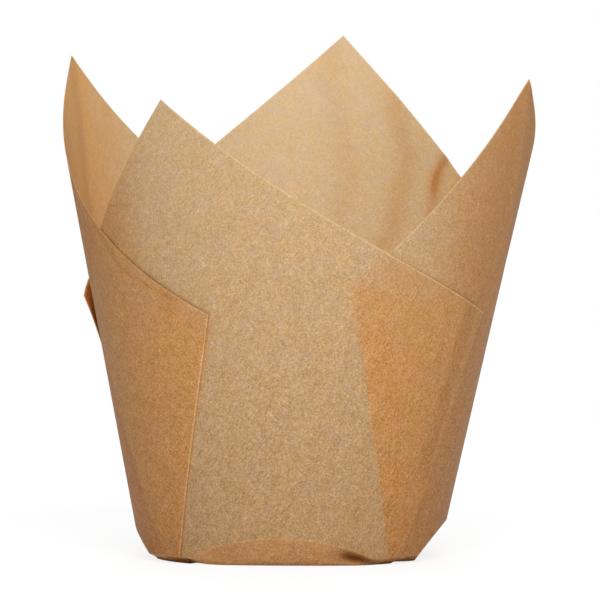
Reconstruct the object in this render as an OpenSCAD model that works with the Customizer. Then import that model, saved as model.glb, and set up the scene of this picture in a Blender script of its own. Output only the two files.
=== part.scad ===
// Tulip baking cup: one square sheet of kraft greaseproof paper, pressed over a
// round former. Its four corners stand up as petals, and the paper that is left
// over between them lies in four wedge pleats of three layers, all folded the
// same way round.
//
// The wall is a cone. Paper doesn't stretch, so the sheet is laid out flat on the
// unrolled cone first: there its edges and folds are straight lines, and lengths
// are true. That layout is then rolled up into the cup. Points of the layout are
// measured from the cone's apex, and headings from its axis, clockwise.
// The origin is the centre of the foot, the front of the cup faces -Y, and
// azimuths run counter-clockwise from the front as seen from above.

/* [Sheet] */
// Side of the square sheet
sheet_side = 160; // [150:1:170]
// Thickness of the paper
paper_t = 0.08; // [0.05:0.01:0.14]
// Distance from layer to layer where the sheet lies folded on itself
layer_pitch = 0.3; // [0.25:0.05:0.5]

/* [Cup] */
// Diameter of the former's foot
foot_d = 52.1; // [48:0.1:56]
// Angle of the wall from upright
wall_flare = 11.75; // [10:0.05:14]
// How far the wall leans to the right in 100 mm of height
lean = 2.2; // [0:0.1:5]

/* [Foot] */
// How far the middle of the foot's front side is flattened in
front_inset = 5.2; // [3:0.1:6]
// How far the middle of the foot's right side is flattened in
right_inset = 3.8; // [2:0.1:5]
// How far the middle of the foot's back side is flattened in
back_inset = 3.8; // [2:0.1:5]
// How far the middle of the foot's left side is flattened in
left_inset = 3.5; // [2:0.1:5]
// Angle from upright of the flat facet above the front side
front_facet = 51; // [46:1:56]
// Angle from upright of the flat facet above the right side
right_facet = 38.5; // [34:0.5:45]
// Angle from upright of the flat facet above the back side
back_facet = 38; // [34:0.5:45]
// Angle from upright of the flat facet above the left side
left_facet = 39; // [34:0.5:45]
// Height of the small bevel under each pleat
corner_bevel_h = 1.2; // [0.8:0.1:2]
// Width of the small bevel under each pleat
corner_bevel_w = 2.4; // [1.2:0.1:3]
// How far in from the foot's edge the folds of the pleats start
fold_start = 4.5; // [3:0.5:7]

/* [Front petal] */
// Azimuth of the tip, from straight ahead
front_turn = -33.7; // [-37:0.1:-30]
// Height of the tip above that of an evenly pressed cup
front_rise = -4.3; // [-6:0.1:0]
// Tilt of the petal's diagonal from the slope of the wall at its tip
front_tilt = -5.8; // [-8:0.1:-3]
// Length of sheet edge from the tip to the top of its fold
front_fold = 78; // [74:0.2:82]
// How far the top corner of the fold springs out
front_spring = 0.3; // [0:0.1:2]

/* [Right petal] */
// Azimuth of the tip, from straight to the right
right_turn = -25.3; // [-30:0.1:-22]
// Height of the tip above that of an evenly pressed cup
right_rise = -1.1; // [-4:0.1:3]
// Tilt of the petal's diagonal from the slope of the wall at its tip
right_tilt = -6.3; // [-9:0.1:-4]
// Length of sheet edge from the tip to the top of its fold
right_fold = 78.8; // [75:0.2:82]
// How far the top corner of the fold springs out
right_spring = 0.3; // [0:0.1:2]

/* [Back petal] */
// Azimuth of the tip, from straight back
back_turn = -9.8; // [-14:0.1:-6]
// Height of the tip above that of an evenly pressed cup
back_rise = 5.6; // [3:0.1:9]
// Tilt of the petal's diagonal from the slope of the wall at its tip
back_tilt = -1.6; // [-5:0.1:0]
// Length of sheet edge from the tip to the top of its fold
back_fold = 82.4; // [78:0.2:86]
// How far the top corner of the fold springs out
back_spring = 1.5; // [0:0.1:3]

/* [Left petal] */
// Azimuth of the tip, from straight to the left
left_turn = -23.8; // [-28:0.1:-20]
// Height of the tip above that of an evenly pressed cup
left_rise = 2.4; // [-1:0.1:5]
// Tilt of the petal's diagonal from the slope of the wall at its tip
left_tilt = -0.4; // [-3:0.1:1.5]
// Length of sheet edge from the tip to the top of its fold
left_fold = 75.6; // [72:0.2:80]
// How far the top corner of the fold springs out
left_spring = 0.3; // [0:0.1:2]

/* [Hidden] */

// Each list holds the front, right, back and left petal's value
turns = [front_turn, right_turn, back_turn, left_turn];
rises = [front_rise, right_rise, back_rise, left_rise];
tilts = [front_tilt, right_tilt, back_tilt, left_tilt];
folds = [front_fold, right_fold, back_fold, left_fold];
springs = [front_spring, right_spring, back_spring, left_spring];
insets = [front_inset, right_inset, back_inset, left_inset];
facets = [front_facet, right_facet, back_facet, left_facet];

petals = 4;
quarter = 360 / petals;
foot_r = foot_d / 2;
half_diagonal = sheet_side / sqrt(2);
// Slant from the cone's apex to the foot, and to the top of the corner bevel
foot_reach = foot_r / sin(wall_flare);
bevel_reach = foot_reach + corner_bevel_h / cos(wall_flare);
even_rise = half_diagonal - foot_r;
mm_per_degree = foot_r * PI / 180;
// Width of the rounded turn where the sheet folds back
turn_w = layer_pitch / 2;
// Length of foot in which the inner layer comes down beside a pleat
settle = 8;
// Width of the ring in which the flat floor rises to the layers of the pleats
floor_ramp = 4;
// Layers between which the middle layer stands upright where its folds start
jog_layer = 0.25;

// Steps along a petal's clockwise edge, its other edge and a pleat's middle layer
cw_steps = 8;
ccw_steps = 13;
mid_steps = 5;
wall_steps = 14;
floor_steps = 2;

function pick(values, i) = values[(i + petals) % petals];
function heading(a) = [sin(a), cos(a)];
function heading_of(v) = atan2(v.x, v.y);
function azimuth_of(v) = heading_of(v) / sin(wall_flare);
function smooth(x) = let (c = min(1, max(0, x))) c * c * (3 - 2 * c);
function mix(a, b, x) = a + (b - a) * x;

// Where two straight lines, each from a point along a heading, meet
function meeting(p, a, q, b) =
    p + heading(a) * cross(q - p, heading(b)) / cross(heading(a), heading(b));

// Where a line from inside the foot crosses the top of the corner bevel
function crossing(p, a) =
    let (h = heading(a), along = p * h)
    p + h * (sqrt(along * along - p * p + bevel_reach * bevel_reach) - along);

// The flat layout. Petal i and the sheet's centre as that petal places it
function tip_heading(i) = (quarter * i + pick(turns, i)) * sin(wall_flare);
function tip(i) = (foot_reach + even_rise + pick(rises, i)) * heading(tip_heading(i));
function diagonal(i) = tip_heading(i) + pick(tilts, i);
function centre(i) = tip(i) - half_diagonal * heading(diagonal(i));

// Pleat i lies between petal i and the next. Its wedge of spare paper shows as
// the turn that carries one petal's layout into the next one's, and both folds
// start from the one point that this turn leaves in place
function spare_angle(i) = 90 - diagonal(i + 1) + diagonal(i);
function root(i) =
    let (a = centre(i), b = centre(i + 1))
    (a + b) / 2 + [a.y - b.y, b.x - a.x] / 2 / tan(spare_angle(i) / 2);
function wedge(i) = spare_angle(i) / 2;
function outer_top(i) = tip(i) + pick(folds, i) * heading(diagonal(i) + 135);
function outer_heading(i) = heading_of(outer_top(i) - root(i));
function inner_heading(i) = outer_heading(i) - wedge(i);
function inner_top(i) = meeting(root(i), inner_heading(i), tip(i + 1), diagonal(i + 1) + 225);

// How far a point lies to the left of the line from a to b
function left_of(a, b, p) = cross(b - a, p - a) / norm(b - a);

// Layer of petal i at a point: -1 inside the pleat before it, 1 outside the next,
// and between them by its distances from the two pleats, each of which ends at a
// fold and at the edge of the petal on its far side
function layer(i, p) =
    let (to_next = max(0, left_of(root(i), inner_top(i), p), left_of(inner_top(i), tip(i + 1), p)))
    let (fold_before = outer_top(i - 1))
    let (to_last = max(0, left_of(fold_before, root(i - 1), p), left_of(tip(i - 1), fold_before, p)))
    (to_last * to_last - to_next * to_next) / max(to_last * to_last + to_next * to_next, 0.000001);

// How far the layers at the top corner of fold i stand out
function spring_out(i, p) =
    let (up = norm(p - root(i)) / norm(outer_top(i) - root(i)))
    let (aside = 1 - 2 * abs(outer_heading(i) - heading_of(p - root(i))) / wedge(i))
    pick(springs, i) * pow(up, 8) * smooth(aside);

// Where pleat i's two folds come down to the foot, its middle there and half its
// width, as azimuths. However narrow the pleat is, its turns keep their room
function outer_line(i) = azimuth_of(crossing(root(i), outer_heading(i)));
function inner_line(i) = azimuth_of(crossing(root(i), inner_heading(i)));
function foot_middle(i) = (outer_line(i) + inner_line(i)) / 2;
function foot_half(i) = max((outer_line(i) - inner_line(i)) / 2, 2.6 * turn_w / mm_per_degree);
function outer_foot(i) = foot_middle(i) + foot_half(i);
function inner_foot(i) = foot_middle(i) - foot_half(i);

// The foot below petal i: its edge is a circle cut by a straight side, and a
// flat facet rises from that side until it meets the cone
function side_azimuth(i) = (inner_foot(i - 1) + outer_foot(i)) / 2;
function flat_r(i) = foot_r - pick(insets, i);
function edge_r(i, aside) = min(foot_r - corner_bevel_w, flat_r(i) / cos(aside));
function facet_h(i, aside) =
    let (run = foot_r * cos(aside) - flat_r(i))
    max(corner_bevel_h, run / (tan(pick(facets, i)) - tan(wall_flare) * cos(aside)));

// Distances along a length, with a short step at each end for the fold's turn
function stations(length, steps) =
    concat([0, turn_w], [for (k = [1:steps - 1]) length * k / steps], [length - turn_w, length]);

// A column runs from the centre of the foot out to its edge and up the wall to
// the sheet's edge. On the flat floor it is still unfolded. Then, where the folds
// start, a pleat's columns stand one above another in a small upright jog, and
// from there its middle layer runs back under the petal. A column is [petal or
// pleat, whether in a petal, azimuth on the floor, azimuth at the jog, layer at
// the jog, azimuth at the foot's edge, layer there, which fold it is, its end]
function petal_columns(i) =
    let (start = inner_top(i - 1), corner = tip(i), finish = outer_top(i))
    let (l1 = norm(corner - start), l2 = norm(finish - corner))
    let (ends = concat(
        [start, mix(start, corner, turn_w / l1)],
        [for (k = [1:cw_steps]) mix(start, corner, k / cw_steps)],
        [for (k = [1:ccw_steps - 1]) mix(corner, finish, k / ccw_steps)],
        [mix(finish, corner, turn_w / l2), finish]))
    let (from = inner_foot(i - 1), span = (outer_foot(i) - from) * mm_per_degree)
    let (feet = stations(span, cw_steps + ccw_steps))
    let (jog_from = foot_middle(i - 1), jog_to = foot_middle(i))
    let (under = 2 * foot_half(i - 1) * mm_per_degree + turn_w)
    let (last = len(ends) - 1)
    [for (k = [0:last])
        let (fold = k == 0 ? -1 : k == last ? 1 : 0)
        let (share = feet[k] / span)
        let (jog_share = k == 1 ? 0 : k == last - 1 ? 1 : share)
        let (level = fold != 0 ? fold / 2 : mix(-1, 1, smooth((feet[k] - under) / settle)))
        [i, true,
         mix(jog_from + foot_half(i - 1), jog_to - foot_half(i), share),
         mix(jog_from, jog_to, jog_share), level,
         from + feet[k] / mm_per_degree, level,
         fold, ends[k]]];

function middle_columns(i) =
    let (start = outer_top(i), finish = inner_top(i), half = foot_half(i))
    let (length = norm(finish - start), span = 2 * half * mm_per_degree)
    let (ends = stations(length, mid_steps), feet = stations(span, mid_steps))
    [for (k = [1:len(ends) - 2])
        let (share = feet[k] / span)
        [i, false,
         foot_middle(i) + mix(-half, half, share),
         foot_middle(i), mix(jog_layer, -jog_layer, share),
         outer_foot(i) - feet[k] / mm_per_degree, 0,
         0, mix(start, finish, ends[k] / length)]];

columns = [for (i = [0:petals - 1]) each concat(petal_columns(i), middle_columns(i))];
column_count = len(columns);

function place(r, azimuth, z) =
    [r * sin(azimuth) + z * lean / 100, -r * cos(azimuth), z + paper_t / 2];

// The sheet's middle surface along a column, from the foot's centre outwards
function column_points(c) =
    let (i = c[0], in_petal = c[1], fold = c[7], end = c[8])
    let (floor_azimuth = c[2], jog_azimuth = c[3], jog_level = c[4])
    let (azimuth = c[5], foot_layer = c[6])
    let (aside = in_petal && fold == 0 ? azimuth - side_azimuth(i) : quarter / 2)
    let (edge = edge_r(i, aside), h = facet_h(i, aside))
    let (floor_r = edge - fold_start - floor_ramp)
    let (start = (foot_reach + h / cos(wall_flare)) * heading(azimuth * sin(wall_flare)))
    concat(
        [for (k = [1:floor_steps]) place(floor_r * k / floor_steps, floor_azimuth, 0)],
        [place(edge - fold_start, jog_azimuth, (1 - jog_level) * layer_pitch)],
        [place(edge + foot_layer * layer_pitch, azimuth, (1 - foot_layer) * layer_pitch)],
        [for (k = [0:wall_steps])
            let (p = mix(start, end, k / wall_steps), slant = norm(p) - foot_reach)
            let (level = !in_petal ? 0 : fold != 0 ? fold / 2 : layer(i, p))
            let (out = level * layer_pitch + spring_out(fold < 0 ? i - 1 : i, p))
            place(foot_r + slant * sin(wall_flare) + out,
                  azimuth_of(p), slant * cos(wall_flare))]);

middle = [for (c = columns) column_points(c)];
rings = len(middle[0]);
hub = [0, 0, paper_t / 2];

// Direction square to the sheet at ring k of column j
function unit(v) = v / norm(v);
function square_to(j, k) =
    let (before = middle[(j + column_count - 1) % column_count][k])
    let (here = middle[j][k], after = middle[(j + 1) % column_count][k])
    let (below = k == 0 ? hub : middle[j][k - 1])
    let (above = k == rings - 1 ? here : middle[j][k + 1])
    unit(cross(unit(after - here) + unit(here - before), unit(above - here + (here - below))));

// Both faces of the paper: the outer at side 1, the inner at side -1
function face_points(side) =
    [for (k = [0:rings - 1]) for (j = [0:column_count - 1])
        middle[j][k] + square_to(j, k) * side * paper_t / 2];

module liner() {
    half = rings * column_count;
    outer_hub = 2 * half;
    inner_hub = outer_hub + 1;
    points = concat(face_points(1), face_points(-1),
                    [hub - [0, 0, paper_t / 2], hub + [0, 0, paper_t / 2]]);
    faces = [for (j = [0:column_count - 1])
        let (n = (j + 1) % column_count)
        each concat(
            [[outer_hub, j, n], [inner_hub, half + n, half + j]],
            [for (k = [0:rings - 2])
                let (a = k * column_count + j, b = k * column_count + n)
                let (c = a + column_count, d = b + column_count)
                each [[a, c, d], [a, d, b], [half + a, half + d, half + c], [half + a, half + b, half + d]]],
            let (a = (rings - 1) * column_count + j, b = (rings - 1) * column_count + n)
            [[a, half + a, half + b], [a, half + b, b]])];
    color("tan")
        polyhedron(points, faces);
}

liner();
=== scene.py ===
"""A tulip baking cup of brown greaseproof paper: one square sheet pressed over a round
former, with four corner petals and four wedge pleats, standing on a white table."""

import math
from functools import partial

import bpy
import numpy as np
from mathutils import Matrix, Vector


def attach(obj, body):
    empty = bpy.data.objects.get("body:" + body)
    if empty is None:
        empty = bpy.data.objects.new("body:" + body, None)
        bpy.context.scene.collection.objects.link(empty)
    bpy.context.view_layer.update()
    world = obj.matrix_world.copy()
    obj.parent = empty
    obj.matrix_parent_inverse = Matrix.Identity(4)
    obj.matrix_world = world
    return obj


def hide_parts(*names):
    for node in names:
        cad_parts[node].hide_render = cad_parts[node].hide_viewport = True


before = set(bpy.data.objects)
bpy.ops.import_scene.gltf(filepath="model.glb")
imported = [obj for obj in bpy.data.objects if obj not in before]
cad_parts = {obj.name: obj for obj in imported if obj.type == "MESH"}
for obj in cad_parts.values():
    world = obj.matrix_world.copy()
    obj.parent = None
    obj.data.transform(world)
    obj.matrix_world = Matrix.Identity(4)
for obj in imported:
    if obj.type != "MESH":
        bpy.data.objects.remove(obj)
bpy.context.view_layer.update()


# The folded sheet
# One 160 mm square of unbleached greaseproof paper, pressed hot between a round former and
# a die. Its corners stand up as petals, and the paper left over between them is folded into
# wedges of three layers, all the same way round. Nothing holds it but the folds.

# Paper doesn't stretch, so its place is worked out flat, on the unrolled cone of the wall,
# and then rolled up. Flat points are (x, y) from the cone's apex, with headings measured
# clockwise from the axis, all in metres and radians
SHEET_SIDE = 0.160
PAPER_T = 0.00008
LAYER_PITCH = 0.00012
FOOT_R = 0.02605
WALL_FLARE = math.radians(11.75)
# How far the cup leans to the right for each metre of its height
LEAN = 0.022

# For the front, right, back and left petal: turn and tilt in degrees, rise in mm above
# an evenly pressed cup, length in mm of sheet edge from the tip to its fold, and how far
# in mm the fold's top corner springs out
TURNS = np.radians([-33.7, -25.3, -9.8, -23.8])
TILTS = np.radians([-5.8, -6.3, -1.6, -0.4])
RISES = np.array([-4.3, -1.1, 5.6, 2.4]) / 1000
FOLDS = np.array([78.0, 78.8, 82.4, 75.6]) / 1000
SPRINGS = np.array([0.3, 0.3, 1.5, 0.3]) / 1000
# The springing grows with the height up the fold to this power, and where it reaches this
# far out in metres, light gets in behind the corner
SPRING_POWER = 8
SPRUNG_FREE = 0.0012
# How far in mm outside each petal's outer fold its pale line, a painted highlight and burnish,
# would begin: the further out it begins, the less of the line there is
LINE_SETBACK = np.array([0.5, 0.1, 0.1, 0.0])

# How far in mm the foot's four sides are flattened in, and how steep their facets are. The
# front flat isn't quite straight: its ends bow back, as if at this share of their angle
FLAT_INSETS = np.array([5.2, 3.8, 3.8, 3.5]) / 1000
FACET_ANGLES = np.radians([51, 38.5, 38, 39])
FLAT_BOWS = np.array([0.86, 1, 1, 1])
# The small bevel between the flats, under each pleat
CORNER_BEVEL_H = 0.0012
CORNER_BEVEL_W = 0.0024
# How far in from the foot's edge each pleat is gathered to a line, and how far the floor
# then runs down to the table
FOLD_START = 0.0045
FLOOR_RAMP = 0.004
# How far along the foot a petal takes from the inner to the outer layer, half the least
# width of a pleat at the foot in folds' widths, and how the middle layer lies where it is
# gathered, in layers
SETTLE = 0.008
LEAST_HALF = 2.6
GATHERED = 0.25
# The foot's edge lies this share as far out on the flat sheet as the wall's start
EDGE_SHARE = 0.8

# Soft ripples and streaks in the petals: petal, height in mm, width in mm, how much
# deeper the paper's tone is along it, and the azimuths in degrees and heights in mm of the
# line that each follows. The deeper tone is mostly painted shade, in the creases and under the
# petals' edges; the last line's is the paper's own crushed, reddish mottle. A tone of 1 is as
# deep as three layers' painted shade, and 2 is darker still
RIPPLES = (
    (0, -0.12, 1.2, 0.10, ((-45, 72), (-49, 67), (-59, 58))),
    (0, 0.0, 5.0, 1.05, ((58.5, 43), (56.5, 34), (51, 18))),
    (1, 0.25, 2.0, 0.20, ((66, 82), (73, 66), (76, 48))),
    (2, 0.10, 1.0, 0.50, ((131.5, 68), (136, 60), (139, 56))),
    (2, 0.20, 1.5, 1.10, ((136.5, 72), (140, 68), (141.5, 66))),
    (2, 0.20, 2.4, 0.45, ((156, 76), (151.5, 69), (153.5, 56), (158, 50))),
    (2, -0.20, 2.5, 0.20, ((172, 84), (166, 66), (168, 50))),
    (3, 0.20, 2.2, 0.30, ((246, 80), (250, 64), (252, 50))),
    (3, -0.05, 2.6, 1.05, ((288, 61.5), (299, 55.8), (304, 52), (308, 50.5), (316, 48.7),
                           (322, 47.5))),
)

# Each fades out over this height in mm below its line's end. Widths are measured along the
# wall, which is about this far in mm from the axis
RIPPLE_FADE = 12
RIPPLE_R = 40

# Dents in the foot's facets beside the pleats: azimuth and width in degrees, depth in mm,
# and how much deeper the paper's tone is in it, as painted shade in the recess
DENTS = ((28, 7.5, 1.8, 2.2), (57, 4, 1.0, 1.0), (-47, 4.5, 0.8, 0.9), (-27, 5.0, 0.7, 0.3),
         (128, 5, 1.0, 1.0), (-140, 6, 1.2, 1.0))

# Azimuths round the axis times SLOPE are headings on the unrolled cone. The foot and the
# bevels' tops are this far from its apex, and the tips of an evenly pressed cup rise as far
# up the wall as half a diagonal is longer than the foot's radius. A fold's turn is half a
# layer wide
PETALS = 4
QUARTER = math.pi / 2
SLOPE = math.sin(WALL_FLARE)
HALF_DIAGONAL = SHEET_SIDE / math.sqrt(2)
FOOT_REACH = FOOT_R / SLOPE
BEVEL_REACH = FOOT_REACH + CORNER_BEVEL_H / math.cos(WALL_FLARE)
EVEN_RISE = HALF_DIAGONAL - FOOT_R
TURN_W = LAYER_PITCH / 2

# How softly in metres the edges of layers beneath show through: at the foot, where they
# are pressed tight, and at the top. A cover distance of FAR is well inside any edge
SOFT_AT_FOOT = 0.0003
SOFT_AT_TOP = 0.0017
FAR = 9.0

# The cup's right and left sides, where light and shade are painted into the paper's tone: the sines of
# the azimuth at which each starts and is fully reached, and how much of a side the right one is
RIGHT_SIDE, RIGHT_SHARE = (0.50, 0.93), 0.85
LEFT_SIDE = (0.62, 0.95)

# Steps of the mesh along a petal's two edges and across a pleat's middle layer, round
# each fold, up the wall, up a foot's facet and out over the floor
CW_STEPS, CCW_STEPS, MID_STEPS = 50, 56, 20
TURN_STEPS, WALL_STEPS, FACET_STEPS, FLOOR_STEPS = 4, 54, 8, 6
# The angles of the columns round half a fold's turn, and their distances from a strip's end
TURN_ANGLES = np.linspace(QUARTER, 0, TURN_STEPS // 2 + 1)
TURN_SPOTS = TURN_W * (1 - np.sin(TURN_ANGLES))
# Two rings close to the facets' tops keep the creases there sharp: one this share up the
# wall, and one this share of a facet's step below
CREASE_STEP = 0.003
CREASE_GAP = 0.3


def heading(a):
    """The unit vector along a heading: its sine and its cosine."""
    return np.stack([np.sin(a), np.cos(a)], -1)


def heading_of(v):
    """The heading of a vector: the angle whose tangent is x over y."""
    return np.arctan2(v[..., 0], v[..., 1])


def mix(a, b, share):
    """From a to b: a, and a share of the difference."""
    return a + (b - a) * share


def smooth(x):
    """Runs from 0 to 1 as three times the square less twice the cube."""
    x = np.clip(x, 0, 1)
    return x * x * (3 - 2 * x)


def cross2(a, b):
    """The flat cross product: x of a times y of b, less y of a times x of b."""
    return a[..., 0] * b[..., 1] - a[..., 1] * b[..., 0]


def tip_heading(i):
    """Petal i's tip: a quarter round for each petal before it and its own turn, on the cone."""
    return (QUARTER * i + TURNS[i % PETALS]) * SLOPE


def tip(i):
    """Petal i's tip, as far up the cone as an even cup's and its own rise more."""
    return (FOOT_REACH + EVEN_RISE + RISES[i % PETALS]) * heading(tip_heading(i))


def diagonal(i):
    """The heading of the sheet's diagonal through petal i's tip: the tip's and its own tilt."""
    return tip_heading(i) + TILTS[i % PETALS]


def centre(i):
    """Where petal i's layout puts the centre of the sheet: half a diagonal in from its tip."""
    return tip(i) - HALF_DIAGONAL * heading(diagonal(i))


def wedge(i):
    """Half the angle of spare paper between petal i and the next, the width of the pleat."""
    return (QUARTER - diagonal(i + 1) + diagonal(i)) / 2


def root(i):
    """The point that the turn from petal i's layout to the next one's leaves in place: on the
    perpendicular of the two sheet centres, half their distance over the tangent away."""
    a, b = centre(i), centre(i + 1)
    return (a + b) / 2 + np.array([a[1] - b[1], b[0] - a[0]]) / 2 / math.tan(wedge(i))


def outer_top(i):
    """The top of petal i's outer fold: the fold's length along the edge from the tip."""
    return tip(i) + FOLDS[i % PETALS] * heading(diagonal(i) + 1.5 * QUARTER)


def outer_heading(i):
    """The heading of pleat i's outer fold, from its root to its top."""
    return heading_of(outer_top(i) - root(i))


def inner_heading(i):
    """The heading of pleat i's inner fold: a wedge's angle back from the outer one."""
    return outer_heading(i) - wedge(i)


def inner_top(i):
    """Where the inner fold meets the next petal's clockwise edge: two straight lines."""
    p, a = root(i), heading(inner_heading(i))
    q, b = tip(i + 1), heading(diagonal(i + 1) + 2.5 * QUARTER)
    return p + a * cross2(q - p, b) / cross2(a, b)


def foot_azimuth(i, a):
    """The azimuth at which a line from root i along heading a crosses the foot's bevel."""
    p, h = root(i), heading(a)
    along = p @ h
    return heading_of(p + h * (math.sqrt(along**2 - p @ p + BEVEL_REACH**2) - along)) / SLOPE


def foot_middle(i):
    """The azimuth halfway between pleat i's two folds at the foot."""
    return (foot_azimuth(i, outer_heading(i)) + foot_azimuth(i, inner_heading(i))) / 2


def foot_half(i):
    """Half the angle between pleat i's two folds at the foot, but at least room for both."""
    width = foot_azimuth(i, outer_heading(i)) - foot_azimuth(i, inner_heading(i))
    return max(width / 2, LEAST_HALF * TURN_W / FOOT_R)


def outer_foot(i):
    """The azimuth of pleat i's outer fold at the foot: half a width after its middle."""
    return foot_middle(i) + foot_half(i)


def inner_foot(i):
    """The azimuth of pleat i's inner fold at the foot: half a width before its middle."""
    return foot_middle(i) - foot_half(i)


def edge_distance(p, a, b, inside):
    """Signed distance of p from the line through a and b, positive on the side of inside."""
    along = (b - a) / np.linalg.norm(b - a)
    side = np.sign(cross2(along, inside - a))
    return side * cross2(along, p - a)


def petal_layer(i, p):
    """The layer that petal i lies in at p: -1 inside the pleat before it, 1 outside the next,
    and between them the difference of its squared distances from the two over their sum."""
    last = np.maximum(-edge_distance(p, root(i - 1), outer_top(i - 1), inner_top(i - 1)),
                      -edge_distance(p, outer_top(i - 1), tip(i - 1), centre(i - 1)))
    after = np.maximum(-edge_distance(p, root(i), inner_top(i), outer_top(i)),
                       -edge_distance(p, inner_top(i), tip(i + 1), centre(i + 1)))
    last, after = np.maximum(0, last)**2, np.maximum(0, after)**2
    return (last - after) / np.maximum(last + after, 1e-12)


def spring_out(i, p):
    """Fold i's top corner stands out by its springing times the height up the fold to a power,
    and evenly less to its side."""
    up = np.linalg.norm(p - root(i), axis=-1) / np.linalg.norm(outer_top(i) - root(i))
    aside = 1 - 2 * np.abs(outer_heading(i) - heading_of(p - root(i))) / wedge(i)
    return SPRINGS[i % PETALS] * up**SPRING_POWER * np.clip(aside, 0, 1)


def ripple_out(petal, azimuth, z):
    """Ripples of a petal and their tone, which is mostly painted shade: each is its height, or its
    depth of tone, times e to the minus square of the distance over the width from the line it follows."""
    out, tone = np.zeros_like(azimuth), np.zeros_like(azimuth)
    for which, height, width, deeper, line in RIPPLES:
        if which != petal:
            continue
        turn, up = np.array(line).T
        middle = np.interp(z * 1000, up[::-1], np.radians(turn[::-1]))
        off = (azimuth - middle) * RIPPLE_R
        fade = smooth((z * 1000 - up[-1]) / RIPPLE_FADE + 1)
        ripple = fade * np.exp(-(off / width)**2)
        out += height / 1000 * ripple
        tone += deeper * ripple
    return out, tone


def dent_in(azimuth, t):
    """Dents of a facet at share t of its height, and their tone of painted shade: each is its
    depth times e to the minus square of the angle over the width from its azimuth, times 27/4
    of t squared times 1 less t, which comes to 1 at two thirds of the height."""
    turn, width, depth, deeper = np.array(DENTS).T
    off = (np.degrees(azimuth)[..., None] - turn + 180) % 360 - 180
    dent = np.exp(-(off / width)**2) * 27 / 4 * t**2 * (1 - t)
    return dent @ depth / 1000, dent @ deeper


def covers(i, p):
    """What else lies over or under petal i at p, as two triples of signed distances: for the
    pleat after it and for the one before it, how far p is inside the pleat's far fold, below
    its middle layer's edge, and below the neighbouring petal's edge. The distances are in
    units of how softly the layers show through, which grows with the height squared."""
    triples = []
    for j, far_top, neighbour in ((i, inner_top(i), i + 1), (i - 1, outer_top(i - 1), i - 1)):
        own_top = outer_top(j) if j == i else inner_top(j)
        up = np.linalg.norm(p - root(j), axis=-1) / np.linalg.norm(outer_top(j) - root(j))
        softness = mix(SOFT_AT_FOOT, SOFT_AT_TOP, np.clip(up, 0, 1)**2)
        triples.append(np.stack([
            edge_distance(p, root(j), far_top, own_top) / softness,
            edge_distance(p, inner_top(j), outer_top(j), root(j)) / softness,
            edge_distance(p, far_top, tip(neighbour), centre(neighbour)) / softness,
        ], -1))
    return triples


def fold_distance(i, p):
    """The distance in mm of p in petal i from its outer fold, and the line's setback more."""
    return edge_distance(p, root(i), outer_top(i), tip(i)) * 1000 + LINE_SETBACK[i % PETALS]


def on_sheet(i, p):
    """The place on the flat sheet, from its centre, of a point in petal i's layout: the layout
    turned back by the petal's diagonal, which is half a quarter from the sheet's side, and on
    by a quarter for each petal before it."""
    v, a = p - centre(i), QUARTER * (i + 0.5) - diagonal(i)
    c, s = math.cos(a), math.sin(a)
    return np.stack([v[..., 0] * c + v[..., 1] * s, v[..., 1] * c - v[..., 0] * s], -1)


def mirrored(i, p):
    """A point of pleat i's middle layer, folded back across the outer fold into petal i."""
    h = heading(outer_heading(i))
    v = p - root(i)
    return root(i) + 2 * (v @ h)[..., None] * h - v


def stations(length, steps):
    """Distances along a length: even steps, with a quarter circle's worth close to each end."""
    even = np.linspace(0, length, steps + 1)[1:-1]
    return np.concatenate([TURN_SPOTS, even, length - TURN_SPOTS[::-1]])


def turn_layers(count):
    """The layer offsets round a fold for a petal's first and last columns: half a circle."""
    half = 0.5 * np.cos(TURN_ANGLES)
    layers = np.full(count, np.nan)
    layers[:len(half)] = -0.5 - half
    layers[-len(half):] = 0.5 + half[::-1]
    return layers


def petal_columns(i):
    """The columns of petal i, from its inner fold round its tip to its outer fold: the end of
    each on the sheet's edge, its azimuths on the floor, at the jog and at the foot's edge,
    and its layers at the jog, at the edge and, near the folds, up the wall."""
    start, corner, finish = inner_top(i - 1), tip(i), outer_top(i)
    l1, l2 = np.linalg.norm(corner - start), np.linalg.norm(finish - corner)
    along = np.concatenate([np.linspace(0, l1, CW_STEPS + 1),
                            l1 + np.linspace(0, l2, CCW_STEPS + 1)[1:]])
    along = np.concatenate([TURN_SPOTS, along[1:-1], l1 + l2 - TURN_SPOTS[::-1]])
    first = mix(start, corner, (along / l1)[:, None])
    second = mix(corner, finish, ((along - l1) / l2)[:, None])
    end = np.where((along < l1)[:, None], first, second)
    span = (outer_foot(i) - inner_foot(i - 1)) * FOOT_R
    feet = stations(span, CW_STEPS + CCW_STEPS)
    share = feet / span
    under = 2 * foot_half(i - 1) * FOOT_R + TURN_W
    wall_layer = turn_layers(len(feet))
    turning = ~np.isnan(wall_layer)
    foot_layer = np.where(turning, wall_layer, mix(-1, 1, smooth((feet - under) / SETTLE)))
    at_jog = mix(foot_middle(i - 1), foot_middle(i), share)
    at_jog[:len(TURN_ANGLES)] = foot_middle(i - 1)
    at_jog[-len(TURN_ANGLES):] = foot_middle(i)
    aside = inner_foot(i - 1) + feet / FOOT_R - (inner_foot(i - 1) + outer_foot(i)) / 2
    return {
        "petal": i, "middle": False, "end": end, "wall_layer": wall_layer,
        "floor": mix(foot_middle(i - 1) + foot_half(i - 1), foot_middle(i) - foot_half(i), share),
        "jog": at_jog, "jog_layer": foot_layer,
        "edge": inner_foot(i - 1) + feet / FOOT_R, "edge_layer": foot_layer,
        "aside": aside * FLAT_BOWS[i % PETALS],
    }


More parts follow.
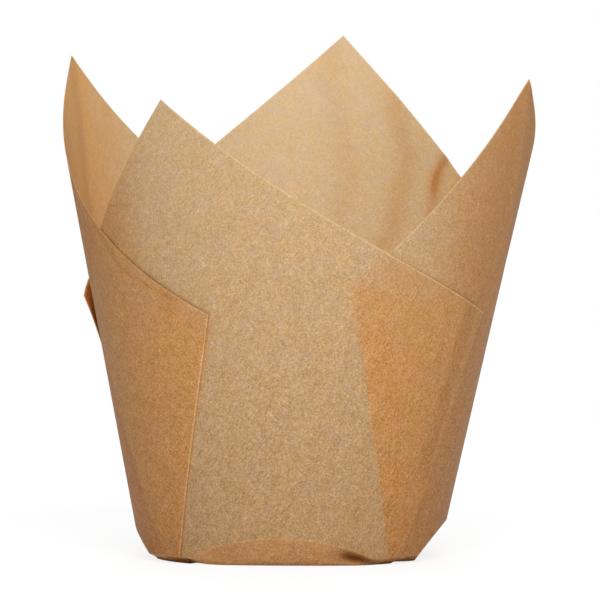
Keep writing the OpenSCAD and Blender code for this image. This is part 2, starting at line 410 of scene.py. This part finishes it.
def middle_columns(i):
    """The columns of pleat i's middle layer, from its outer to its inner fold."""
    start, finish, half = outer_top(i), inner_top(i), foot_half(i)
    length, span = np.linalg.norm(finish - start), 2 * half * FOOT_R
    skip = slice(1, -1)
    ends, feet = stations(length, MID_STEPS)[skip], stations(span, MID_STEPS)[skip]
    turn = 0.5 * np.cos(TURN_ANGLES)[1:]
    layer = np.zeros(len(feet))
    layer[:len(turn)] = 0.5 - turn
    layer[-len(turn):] = turn[::-1] - 0.5
    share = feet / span
    return {
        "petal": i, "middle": True, "end": mix(start, finish, (ends / length)[:, None]),
        "wall_layer": layer, "floor": foot_middle(i) + mix(-half, half, share),
        "jog": np.full(len(feet), foot_middle(i)), "jog_layer": mix(GATHERED, -GATHERED, share),
        "edge": outer_foot(i) - feet / FOOT_R, "edge_layer": layer,
        "aside": np.full(len(feet), QUARTER / 2),
    }


def place(r, azimuth, z):
    """Rolls up: radius r at an azimuth from the front, leaning to the right with height."""
    return np.stack([r * np.sin(azimuth) + z * LEAN, -r * np.cos(azimuth), z + PAPER_T / 2 + 0 * r], -1)


# How many marks each point has, and which of them is the paper's deeper tone, which is painted shade but
# for the crushed mottle
MARKS, TONE_MARK = 10, 7


def strip(c):
    """Rings of points over one set of columns, from the floor's centre to the sheet's edge,
    with their places on the flat sheet and their marks: straight between the floor's rings
    and up a facet, and then up the wall's cone, out by each point's layer."""
    i, side = c["petal"], c["petal"] % PETALS
    count = len(c["edge"])
    cos_aside = np.cos(c["aside"])
    flat_r = FOOT_R - FLAT_INSETS[side]
    edge_r = np.minimum(FOOT_R - CORNER_BEVEL_W, flat_r / cos_aside)
    rise = math.tan(FACET_ANGLES[side]) - math.tan(WALL_FLARE) * cos_aside
    facet_h = np.maximum(CORNER_BEVEL_H, (FOOT_R * cos_aside - flat_r) / rise)
    start = (FOOT_REACH + facet_h / math.cos(WALL_FLARE))[:, None] * heading(c["edge"] * SLOPE)

    def marks(p, deeper, sprung, foot):
        """Cover distances, the outer fold's distance, the ripples' tone of mostly painted shade, how
        far the fold's corner is sprung, and the foot's share. A middle layer lies between two others."""
        own = [np.repeat([[FAR] * 3 + [-FAR] * 3], count, 0)] if c["middle"] else covers(i, p)
        fold = np.full(count, FAR) if c["middle"] else fold_distance(i, p)
        return np.concatenate(own + [np.stack([fold, deeper, sprung, foot + 0 * fold], -1)], -1)

    def flat(p):
        """The place on the flat sheet of a point of the strip."""
        return on_sheet(i, mirrored(i, p) if c["middle"] else p)

    # The floor has nothing over or under it and is all foot
    on_foot = flat(start)
    under = np.repeat([[-FAR] * 6 + [FAR, 0.0, 0.0, 1.0]], count, 0)
    rings = []
    floor_r = edge_r - FOLD_START - FLOOR_RAMP
    for t in np.linspace(0, 1, FLOOR_STEPS + 1)[1:]:
        out = (t * floor_r / edge_r * EDGE_SHARE)[:, None]
        rings.append((place(floor_r * t, c["floor"], 0), on_foot * out, under))
    jog_r = edge_r - FOLD_START
    lift = (1 - c["jog_layer"]) * LAYER_PITCH
    rings.append((place(jog_r, c["jog"], lift), on_foot * (jog_r / edge_r * EDGE_SHARE)[:, None], under))

    wall = []
    for t in np.insert(np.linspace(0, 1, WALL_STEPS + 1), 1, CREASE_STEP):
        p = mix(start, c["end"], t)
        slant = np.linalg.norm(p, axis=-1) - FOOT_REACH
        level = np.where(np.isnan(c["wall_layer"]), petal_layer(i, p), c["wall_layer"])
        springing = spring_out(i, p)
        if not c["middle"]:
            first = np.arange(count) < len(TURN_ANGLES)
            springing = np.where(first, spring_out(i - 1, p), springing)
        azimuth, z = heading_of(p) / SLOPE, slant * math.cos(WALL_FLARE)
        ripple, deeper = np.zeros((2, count)) if c["middle"] else ripple_out(side, azimuth, z)
        r = FOOT_R + slant * SLOPE + level * LAYER_PITCH + springing + ripple
        sprung = smooth(springing / SPRUNG_FREE)
        wall.append((place(r, azimuth, z), flat(p), marks(p, deeper, sprung, t == 0)))

    # The facets run straight from the foot's edge to the wall's start, but for their dents
    edge = place(edge_r + c["edge_layer"] * LAYER_PITCH, c["edge"], (1 - c["edge_layer"]) * LAYER_PITCH)
    wall_start, marks_there = wall[0][0], wall[0][2]
    outwards = np.stack([np.sin(c["edge"]), -np.cos(c["edge"]), 0 * c["edge"]], -1)
    for t in (*np.linspace(0, 1, FACET_STEPS + 1)[:-1], 1 - CREASE_GAP / FACET_STEPS):
        dent, deeper = dent_in(c["edge"], t)
        mark = marks_there.copy()
        # The dents' tone is painted shade in the recess
        mark[:, TONE_MARK] += deeper
        facet = mix(edge, wall_start, t) - outwards * dent[:, None]
        rings.append((facet, on_foot * mix(EDGE_SHARE, 1, t), mark))
    rings += wall
    return [np.array(part) for part in zip(*rings)]


def folded_sheet():
    """The whole sheet as a closed mesh: the middle surface moved half the paper's thickness out
    and in along its normals, joined round the sheet's edge. Rings by columns, then both hubs."""
    strips = [strip(f(i)) for i in range(PETALS) for f in (petal_columns, middle_columns)]
    middle, sheet, mark = (np.concatenate([s[k] for s in strips], 1) for k in range(3))
    rings, columns = middle.shape[:2]
    hub = np.array([0, 0, PAPER_T / 2])

    def unit(v):
        """Vectors over their own lengths."""
        return v / np.linalg.norm(v, axis=-1, keepdims=True)

    steps = unit(np.roll(middle, -1, 1) - middle)
    around = steps + np.roll(steps, 1, 1)
    inner = np.concatenate([np.broadcast_to(hub, (1, columns, 3)), middle])
    rises = unit(np.diff(inner, axis=0))
    outwards = rises + np.concatenate([rises[1:], rises[-1:]])
    normal = unit(np.cross(around, outwards))

    faces_of_paper = [middle + normal * PAPER_T / 2, middle - normal * PAPER_T / 2]
    vertices = np.concatenate([f.reshape(-1, 3) for f in faces_of_paper]
                              + [[hub - [0, 0, PAPER_T / 2], hub + [0, 0, PAPER_T / 2]]])
    uv = np.concatenate([sheet.reshape(-1, 2)] * 2 + [np.zeros((2, 2))]) / SHEET_SIDE + 0.5
    mark = np.concatenate([mark.reshape(-1, MARKS)] * 2 + [mark[0, :2]])

    half = rings * columns
    j = np.arange(columns)
    n = (j + 1) % columns
    k = np.arange(rings - 1)[:, None] * columns
    a, b, c, d = (x.ravel() for x in (k + j, k + n, k + columns + j, k + columns + n))
    last = (rings - 1) * columns
    quads = np.concatenate([
        np.stack([a, b, d, c], 1),
        np.stack([a, c, d, b], 1) + half,
        np.stack([last + j, last + n, half + last + n, half + last + j], 1),
    ])
    fans = np.concatenate([
        np.stack([np.full(columns, 2 * half), n, j], 1),
        np.stack([np.full(columns, 2 * half + 1), half + j, half + n], 1),
    ])
    return vertices, quads, fans, uv, mark, rings, columns


def zones(vertices, half):
    """How far each point belongs to the cup's inside, which is the mesh's second half, and to
    its left and right sides: a smooth step of the sine of the azimuth for each."""
    x, y, z = vertices.T
    inside = np.zeros(len(vertices))
    inside[half:2 * half] = 1
    inside[-1] = 1
    aside = (x - z * LEAN) / np.maximum(np.hypot(x - z * LEAN, y), 1e-6)
    right, left = (smooth((s - begin) / (full - begin))
                   for s, (begin, full) in ((aside, RIGHT_SIDE), (-aside, LEFT_SIDE)))
    return np.stack([inside, RIGHT_SHARE * right + left], 1)


def build_sheet():
    """Puts the folded sheet into a mesh, with its flat places as UV and its marks as vectors."""
    vertices, quads, fans, uv, mark, rings, columns = folded_sheet()
    half = rings * columns
    mesh = bpy.data.meshes.new("paper_sheet")
    mesh.vertices.add(len(vertices))
    mesh.vertices.foreach_set("co", vertices.astype(np.float32).ravel())
    corners = np.concatenate([quads.ravel(), fans.ravel()])
    sizes = np.concatenate([np.full(len(quads), 4), np.full(len(fans), 3)])
    mesh.loops.add(len(corners))
    mesh.loops.foreach_set("vertex_index", corners.astype(np.int32))
    mesh.polygons.add(len(sizes))
    mesh.polygons.foreach_set("loop_start", (np.cumsum(sizes) - sizes).astype(np.int32))
    mesh.update(calc_edges=True)
    mesh.validate()
    layer = mesh.uv_layers.new(name="flat_sheet")
    layer.data.foreach_set("uv", uv[corners].astype(np.float32).ravel())
    mark = np.concatenate([mark, zones(vertices, half)], 1)
    for k, name in enumerate(("pleat_after", "pleat_before", "shape", "zones")):
        attribute = mesh.attributes.new(name, "FLOAT_VECTOR", "POINT")
        attribute.data.foreach_set("vector", mark[:, 3 * k:3 * k + 3].astype(np.float32).ravel())
    # Smooth all over, but sharp along the sheet's edge, the last ring of each half
    mesh.shade_smooth()
    ends = np.empty(2 * len(mesh.edges), np.int32)
    mesh.edges.foreach_get("vertices", ends)
    ends = ends.reshape(-1, 2)
    rim = (ends < 2 * half) & (ends % half >= half - columns)
    sharp = mesh.attributes.new("sharp_edge", "BOOLEAN", "EDGE")
    sharp.data.foreach_set("value", rim.all(1))
    cup = bpy.data.objects.new("paper_cup", mesh)
    bpy.context.collection.objects.link(cup)
    return cup


cup = build_sheet()

# The paper's colours outside and inside, each in the middle and at the cup's sides. The paler inside is
# painted light, and the sides' more golden tones are painted light and shade
OUTSIDE, OUTSIDE_SIDE_SHADING = "#c0a580", "#bd8a50"
INSIDE, INSIDE_SIDE_SHADING = "#d6be98", "#e4b980"
# Painted light on the foot, painted shade over other layers and in the deepest creases, painted
# highlight and burnish along the pale lines, painted shade on the cut
FOOT_PAINTED_LIGHT, LAYER_SHADE, CREASE_SHADE, BURNISH_AND_HIGHLIGHT, CUT_SHADE = "#e1bb87", "#c89861", "#97602f", "#e0c59c", "#8c6840"
# What the paper is multiplied by at the foot, as painted shade that fades out higher up, and in its grey
# and in its golden blotches
LOW_SHADE, GREY_TONE, GOLDEN_TONE = "#eaddce", "#fcfbff", "#fff8e8"
# Light that comes through where a corner is sprung free
GLOW = "#ffe2bc"


def linear(colour):
    """An sRGB hex colour as linear RGBA: each channel to the power 2.4, by the sRGB rule."""
    s = np.array([int(colour[k:k + 2], 16) for k in (1, 3, 5)]) / 255
    return (*np.where(s <= 0.04045, s / 12.92, ((s + 0.055) / 1.055)**2.4), 1.0)


def add_node(tree, kind, settings=None, **inputs):
    """Adds a node and sets its properties. Each input, by its name with _ for a space or by _
    and its number, is linked if it is given a socket, and set if it is given a value."""
    node = tree.nodes.new("ShaderNode" + kind)
    for key, value in (settings or {}).items():
        setattr(node, key, value)
    for key, value in inputs.items():
        socket = node.inputs[int(key[1:]) if key[0] == "_" else key.replace("_", " ")]
        if isinstance(value, bpy.types.NodeSocket):
            tree.links.new(value, socket)
        else:
            socket.default_value = value
    return node.outputs[2 if kind == "Mix" else 0] if node.outputs else None


def greaseproof_paper():
    """Unbleached greaseproof paper, calendered and siliconised: matt with a faint waxy sheen,
    cloudy, and full of short pale fibres. Two or three layers are painted deeper and more orange
    than one, as painted shade for the white light behind that comes through them less."""
    material = bpy.data.materials.new("unbleached_greaseproof_paper")
    material.use_nodes = True
    material.node_tree.nodes.clear()
    add = partial(add_node, material.node_tree)

    # Layers under or over this one in the pleats after and before it: inside the far fold,
    # times below each of two cut edges. They are painted as shade, their number times 0.94, less
    # 0.22 of its square: 0.72 of the shade for the first, and the rest for the second
    layers = 0.0
    for name in ("pleat_after", "pleat_before"):
        distances = add("Attribute", {"attribute_name": name}).node.outputs["Vector"]
        shares = add("MapRange", {"data_type": "FLOAT_VECTOR", "interpolation_type": "SMOOTHSTEP"},
                     Vector=distances, _7=(-1, -1, -1), _8=(1, 1, 1)).node.outputs["Vector"]
        far_fold, middle_edge, petal_edge = add("SeparateXYZ", _0=shares).node.outputs
        both = add("Math", {"operation": "ADD"}, _0=middle_edge, _1=petal_edge)
        layers = add("Math", {"operation": "MULTIPLY_ADD"}, _0=far_fold, _1=both, _2=layers)
    share = add("Math", {"operation": "MULTIPLY_ADD"}, _0=layers, _1=-0.22, _2=0.94)
    layers = add("Math", {"operation": "MULTIPLY"}, _0=layers, _1=share)
    # They are pressed less tight higher up, and their painted shade shows less there. The ripples'
    # tone, mostly painted shade, comes on top, and past 0.7 it begins to be a crease's painted
    # shade. Height is a share of 80 mm
    position = add("TexCoord").node.outputs["Object"]
    height = add("MapRange", Value=add("SeparateXYZ", _0=position).node.outputs["Z"], From_Max=0.08)
    tight = add("MapRange", Value=height, From_Min=0.45, From_Max=0.85, To_Min=1.0, To_Max=0.6)
    shape = add("Attribute", {"attribute_name": "shape"}).node.outputs["Vector"]
    outer_fold, shade_and_mottle, sprung = add("SeparateXYZ", _0=shape).node.outputs
    shade_tint = add("Math", {"operation": "MULTIPLY_ADD"}, _0=layers, _1=tight, _2=shade_and_mottle)
    crease_shade_share = add("MapRange", Value=shade_and_mottle, From_Min=0.7, From_Max=2.0)

    # Places on the flat sheet in millimetres from its centre, and pale lines of painted highlight
    # and burnish: a quarter of a millimetre along each outer fold and each cut edge. On the front
    # left side they are faint but for the part by the fold's corner. The cut itself is painted
    # darker, as painted shade, by half as much
    uv = add("UVMap", {"uv_map": "flat_sheet"})
    side_mm = SHEET_SIDE * 1000
    flat_mm = add("Mapping", Vector=uv, Location=(-side_mm / 2, -side_mm / 2, 0), Scale=[side_mm] * 3)
    from_centre = add("VectorMath", {"operation": "ABSOLUTE"}, _0=flat_mm)
    along, across = add("SeparateXYZ", _0=from_centre).node.outputs[:2]
    reach = add("Math", {"operation": "MAXIMUM"}, _0=along, _1=across)
    front_left = add("SeparateXYZ", _0=flat_mm).node.outputs["Y"]
    burnish_and_highlight = add("MapRange", Value=front_left, From_Min=70.0, From_Max=79.0, To_Min=0.6, To_Max=0.1)
    by_corner = add("MapRange", Value=along, From_Min=6.0, From_Max=20.0, To_Min=0.5, To_Max=0.0)
    burnish_and_highlight = add("Math", {"operation": "MAXIMUM"}, _0=burnish_and_highlight, _1=by_corner)
    cut_edge = add("MapRange", {"interpolation_type": "SMOOTHSTEP"},
                   Value=reach, From_Min=79.65, From_Max=79.9, To_Max=burnish_and_highlight)
    darker = add("Math", {"operation": "MULTIPLY"}, _0=burnish_and_highlight, _1=0.5)
    cut = add("MapRange", Value=reach, From_Min=79.95, From_Max=79.99, To_Max=darker)
    fold_line = add("MapRange", {"interpolation_type": "SMOOTHSTEP"},
                    Value=outer_fold, From_Min=0.1, From_Max=0.34, To_Min=0.5, To_Max=0.0)
    line = add("Math", {"operation": "MAXIMUM"}, _0=cut_edge, _1=fold_line)

    # The paper's tone: painted shading makes it more golden at the sides and painted light paler
    # inside, then painted light on its foot, painted shade over its layers and in its creases, pale
    # lines of painted highlight and burnish, and painted shade dark on the cut. All of it is painted
    # browner lower down, as shade
    zone = add("Attribute", {"attribute_name": "zones"}).node.outputs["Vector"]
    foot, inside, side = add("SeparateXYZ", _0=zone).node.outputs
    outer, lining = (add("Mix", {"data_type": "RGBA"}, _0=side, _6=linear(front), _7=linear(aside))
                     for front, aside in ((OUTSIDE, OUTSIDE_SIDE_SHADING), (INSIDE, INSIDE_SIDE_SHADING)))
    tone = add("Mix", {"data_type": "RGBA"}, _0=inside, _6=outer, _7=lining)
    for share, colour in ((foot, FOOT_PAINTED_LIGHT), (shade_tint, LAYER_SHADE), (crease_shade_share, CREASE_SHADE), (line, BURNISH_AND_HIGHLIGHT),
                          (cut, CUT_SHADE)):
        tone = add("Mix", {"data_type": "RGBA"}, _0=share, _6=tone, _7=linear(colour))
    lower_shade = add("Mix", {"data_type": "RGBA"}, _0=height, _6=linear(LOW_SHADE), _7=(1, 1, 1, 1))
    tone = add("Mix", {"data_type": "RGBA", "blend_type": "MULTIPLY"}, _0=1.0, _6=tone, _7=lower_shade)

    # Golden and grey blotches of 1.7 and 5 mm: half of each hue, and more or less of it by each
    # blotch's strength times its noise, whose middle is a half. The shifts keep them apart
    blotches = ((1.7, 2.0, (9, 31, 0)), (5.0, 1.8, (57, 12, 0)))
    hue = 0.5 - sum(strength for size_mm, strength, shift in blotches) / 2
    for size_mm, strength, shift in blotches:
        moved = add("VectorMath", {"operation": "ADD"}, _0=flat_mm, _1=shift)
        blotch = add("TexNoise", Vector=moved, Scale=1 / size_mm, Detail=1.0)
        hue = add("Math", {"operation": "MULTIPLY_ADD"}, _0=blotch, _1=strength, _2=hue)
    hue = add("Mix", {"data_type": "RGBA"}, _0=hue, _6=linear(GREY_TONE), _7=linear(GOLDEN_TONE))
    tone = add("Mix", {"data_type": "RGBA", "blend_type": "MULTIPLY"}, _0=1.0, _6=tone, _7=hue)

    # Grain of 0.36, 0.9 and 2.8 mm, each lighter or darker by its strength times the noise. The
    # paper's real fibres are finer than 0.36 mm, too fine to show, so they are drawn coarser
    grains = ((0.36, 0.72, (0, 0, 0)), (0.9, 0.30, (23, 5, 0)), (2.8, 0.17, (41, 67, 0)))
    value = -sum(strength for size_mm, strength, shift in grains) / 2
    for size_mm, strength, shift in grains:
        moved = add("VectorMath", {"operation": "ADD"}, _0=flat_mm, _1=shift)
        grain = add("TexNoise", Vector=moved, Scale=1 / size_mm, Detail=1.0, Roughness=0.6)
        value = add("Math", {"operation": "MULTIPLY_ADD"}, _0=grain, _1=strength, _2=value)
    # Pale curved fibres about a millimetre long: where a winding noise crosses its middle,
    # broken up by another noise
    for size_mm, shift in ((1.0, (3, 11, 5)), (1.6, (71, 23, 9))):
        moved = add("VectorMath", {"operation": "ADD"}, _0=flat_mm, _1=shift)
        winding = add("TexNoise", Vector=moved, Scale=1 / size_mm, Detail=1.0, Distortion=0.8)
        off = add("Math", {"operation": "COMPARE"}, _0=winding, _1=0.5, _2=0.018)
        breaks = add("TexNoise", Vector=moved, Scale=0.9 / size_mm, Detail=0.0)
        fibre = add("MapRange", {"interpolation_type": "SMOOTHSTEP"},
                    Value=breaks, From_Min=0.48, From_Max=0.6, To_Max=0.1)
        value = add("Math", {"operation": "MULTIPLY_ADD"}, _0=off, _1=fibre, _2=value)
    # The inside, which was calendered last, is smoother, and so are the tips. A light grain is
    # whiter than the tone, not only brighter
    even = add("MapRange", Value=height, From_Min=0.4, To_Min=1.0, To_Max=0.6)
    calm = add("Math", {"operation": "MULTIPLY_ADD"}, _0=inside, _1=-0.28, _2=even)
    value = add("Math", {"operation": "MULTIPLY"}, _0=value, _1=calm)
    whiter = add("VectorMath", {"operation": "ADD"}, _0=tone, _1=(0.2, 0.2, 0.2))
    colour = add("VectorMath", {"operation": "MULTIPLY_ADD"}, _0=whiter, _1=value, _2=tone)

    bump = add("Bump", Strength=0.3, Distance=0.0001, Height=value)
    paper = add("BsdfPrincipled", Base_Color=colour, Roughness=0.5, IOR=1.5,
                Specular_IOR_Level=0.15, Normal=bump)
    # Three tenths of the light goes through. More of it does where a corner is sprung free
    glowing = add("Mix", {"data_type": "RGBA"}, _0=sprung, _6=colour, _7=linear(GLOW))
    glow = add("BsdfTranslucent", Color=glowing, Normal=bump)
    through = add("Math", {"operation": "MULTIPLY_ADD"}, _0=sprung, _1=0.35, _2=0.3)
    both = add("MixShader", _0=through, _1=paper, _2=glow)
    add("OutputMaterial", Surface=both)
    return material


cup.data.materials.append(greaseproof_paper())
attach(cup, "root")
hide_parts("liner")


# The table
# A plain white matt table that runs out past the picture, seen as white but for the cup's
# own soft shadow.

TABLE_SIZE = 12.0
LAMINATE = "#f4f4f4"
# The camera sees this share of plain white out to the first distance from the cup in metres,
# and all of it from the second on
WHITE_NEAR = 0.84
SHADE_REACH = 0.16
WHITE_REACH = 0.45

bpy.ops.mesh.primitive_plane_add(size=TABLE_SIZE, location=(0, 0, 0))
table = bpy.context.object
table.name = "table"


def white_laminate():
    """Matt white laminate. The camera sees it at plain white, so that the light on the cup can
    stay low, with a share of the real surface near the cup, where its shadow falls."""
    material = bpy.data.materials.new("white_laminate")
    material.use_nodes = True
    material.node_tree.nodes.clear()
    add = partial(add_node, material.node_tree)
    matt = add("BsdfDiffuse", Color=linear(LAMINATE))
    white = add("Emission", Strength=1.0)
    position = add("TexCoord").node.outputs["Object"]
    away = add("VectorMath", {"operation": "LENGTH"}, _0=position).node.outputs["Value"]
    shown = add("MapRange", {"interpolation_type": "SMOOTHSTEP"}, Value=away,
                From_Min=SHADE_REACH, From_Max=WHITE_REACH, To_Min=WHITE_NEAR, To_Max=1.0)
    seen = add("Math", {"operation": "MULTIPLY"}, _0=add("LightPath"), _1=shown)
    add("OutputMaterial", Surface=add("MixShader", _0=seen, _1=matt, _2=white))
    return material


table.data.materials.append(white_laminate())


# The light
# A white room with a soft box in front and above, a weaker one behind and a faint one over
# the cup's mouth.

# How strongly the room lights the cup. The camera sees it at 1, which is white
ROOM_LIGHT = 0.2

world = bpy.data.worlds.new("white_room")
bpy.context.scene.world = world
world.use_nodes = True
world.node_tree.nodes.clear()
seen = add_node(world.node_tree, "LightPath")
strength = add_node(world.node_tree, "MapRange", Value=seen, To_Min=ROOM_LIGHT, To_Max=1.0)
room = add_node(world.node_tree, "Background", Color=(1, 1, 1, 1), Strength=strength)
add_node(world.node_tree, "OutputWorld", Surface=room)


def soft_box(name, place, aim, size, power):
    """A square lamp of a size in metres and a power in watts, turned from its place to a point."""
    data = bpy.data.lights.new(name, "AREA")
    data.size = size
    data.energy = power
    lamp = bpy.data.objects.new(name, data)
    lamp.location = place
    lamp.rotation_euler = (Vector(aim) - Vector(place)).to_track_quat("-Z", "Y").to_euler()
    lamp.visible_camera = False
    bpy.context.collection.objects.link(lamp)


soft_box("front_soft_box", (0.04, -0.62, 0.45), (0, 0, 0.05), 0.4, 6.55)
soft_box("back_soft_box", (0.0, 0.5, 0.4), (0, 0, 0.06), 0.5, 2.75)
soft_box("top_soft_box", (0.0, -0.05, 0.9), (0, 0, 0), 0.4, 1.4)


# The camera
# A long lens level with the cup, a little above it. 600 pixels of picture take in about
# 105 mm at the cup's middle.

SENSOR_MM = 36
CAMERA_REACH = 1.4
CAMERA_RISE = math.radians(2.776)
PIXELS_PER_MM = 5.697
PICTURE_PIXELS = 600
AIM = Vector((0.0018, 0, 0.04506))
SIGHT = 50

camera_data = bpy.data.cameras.new("camera")
camera_data.sensor_width = SENSOR_MM
camera_data.lens = SENSOR_MM * PIXELS_PER_MM * CAMERA_REACH * 1000 / PICTURE_PIXELS
camera_data.clip_end = SIGHT
camera = bpy.data.objects.new("camera", camera_data)
back = Vector((0, -math.cos(CAMERA_RISE), math.sin(CAMERA_RISE)))
camera.location = AIM + back * CAMERA_REACH
camera.rotation_euler = (-back).to_track_quat("-Z", "Y").to_euler()
bpy.context.collection.objects.link(camera)
bpy.context.scene.camera = camera
bpy.context.scene.view_settings.view_transform = "Standard"
